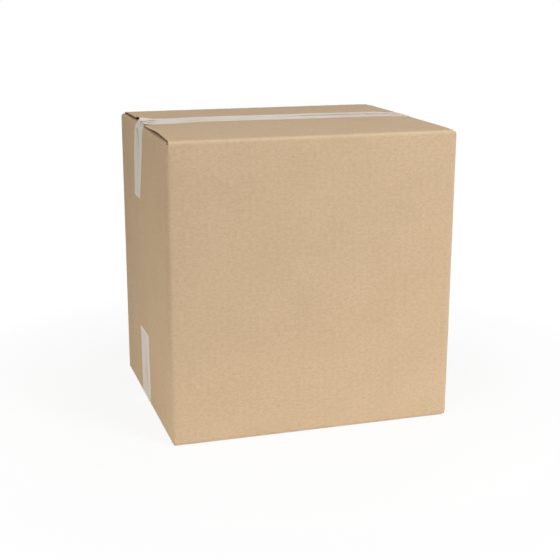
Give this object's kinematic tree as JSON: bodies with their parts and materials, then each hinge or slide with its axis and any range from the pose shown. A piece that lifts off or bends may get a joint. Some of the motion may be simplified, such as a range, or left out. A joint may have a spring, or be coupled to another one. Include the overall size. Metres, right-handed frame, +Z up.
{
  "type": "closed cardboard box",
  "caption": "Plain kraft corrugated carton with folded flaps, closed with clear packing tape over its top and bottom seams.",
  "frame": {"origin": "on the floor, under the middle of the closed carton", "axes": "+Z up; -Y is the wide front panel; X runs along the centre seams, so the tapes run down the -X and +X end panels"},
  "size_m": [0.3302, 0.275, 0.3399],
  "materials": {
    "kraft_board": "unprinted brown kraft liner, matt, with a fine fibre fleck and faint upright washboarding over the flutes",
    "packing_tape": "thin milky clear packing tape, smooth with fine lengthwise wrinkles"
  },
  "bodies": {
    "root": {"carton": "kraft_board", "top_tape": "packing_tape", "bottom_tape": "packing_tape"}
  },
  "joints": []
}
